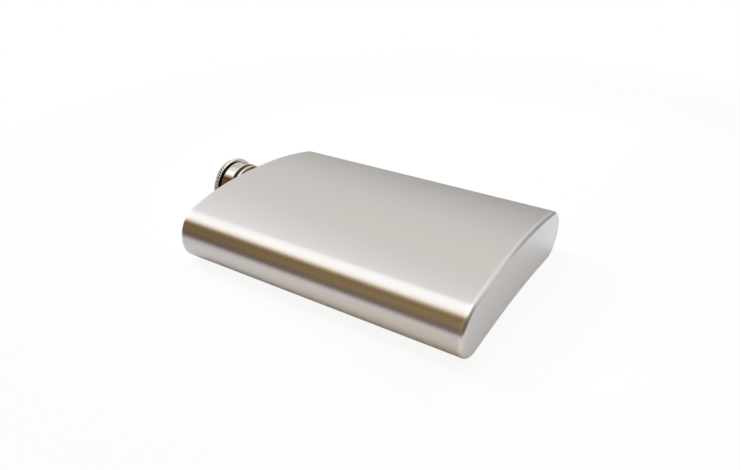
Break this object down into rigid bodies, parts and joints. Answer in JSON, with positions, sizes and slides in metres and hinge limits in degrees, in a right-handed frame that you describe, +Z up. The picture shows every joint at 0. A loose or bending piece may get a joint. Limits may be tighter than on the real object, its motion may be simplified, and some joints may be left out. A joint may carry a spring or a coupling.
{
  "type": "hip flask",
  "caption": "Curved pocket flask of brushed sheet steel that lies on its hollow back, with a polished screw cap over a short threaded neck.",
  "frame": {"origin": "on the floor under the middle of the whole length, with the flask lying on its hollow back", "axes": "+X from the cap to the base plate, +Y across the flask, +Z up out of the bulging front face"},
  "size_m": [0.1404, 0.094, 0.0269],
  "materials": {
    "body_steel": "stainless sheet, brushed round the section, satin",
    "neck_steel": "turned stainless steel, fine satin",
    "cap_steel": "polished stainless steel",
    "spacer_plastic": "black moulded nylon",
    "liner_plastic": "black moulded polypropylene",
    "seal_rubber": "soft translucent silicone"
  },
  "bodies": {
    "flask": {"body_wrap": "body_steel", "base_plate": "body_steel", "shoulder_plate": "body_steel", "neck": "neck_steel", "neck_collar": "neck_steel"},
    "seal": {"cap_seal": "seal_rubber"},
    "cap": {"cap_barrel": "cap_steel", "cap_disc": "cap_steel", "cap_rivet": "cap_steel", "cap_spacer": "spacer_plastic", "cap_liner": "liner_plastic"}
  },
  "joints": [
    {"name": "cap_lift", "type": "slide", "parent": "flask", "child": "seal", "axis": [-1, 0, 0], "range_m": [0, 0.0055]},
    {"name": "cap_turn", "type": "hinge", "parent": "seal", "child": "cap", "pos_m": [-0.06407, 0, 0.0144], "axis": [-1, 0, 0], "range_deg": [0, 1080]}
  ],
  "couplings": [
    {"joint": "cap_lift", "follows": "cap_turn", "m_per_rad": 0.00028648}
  ]
}
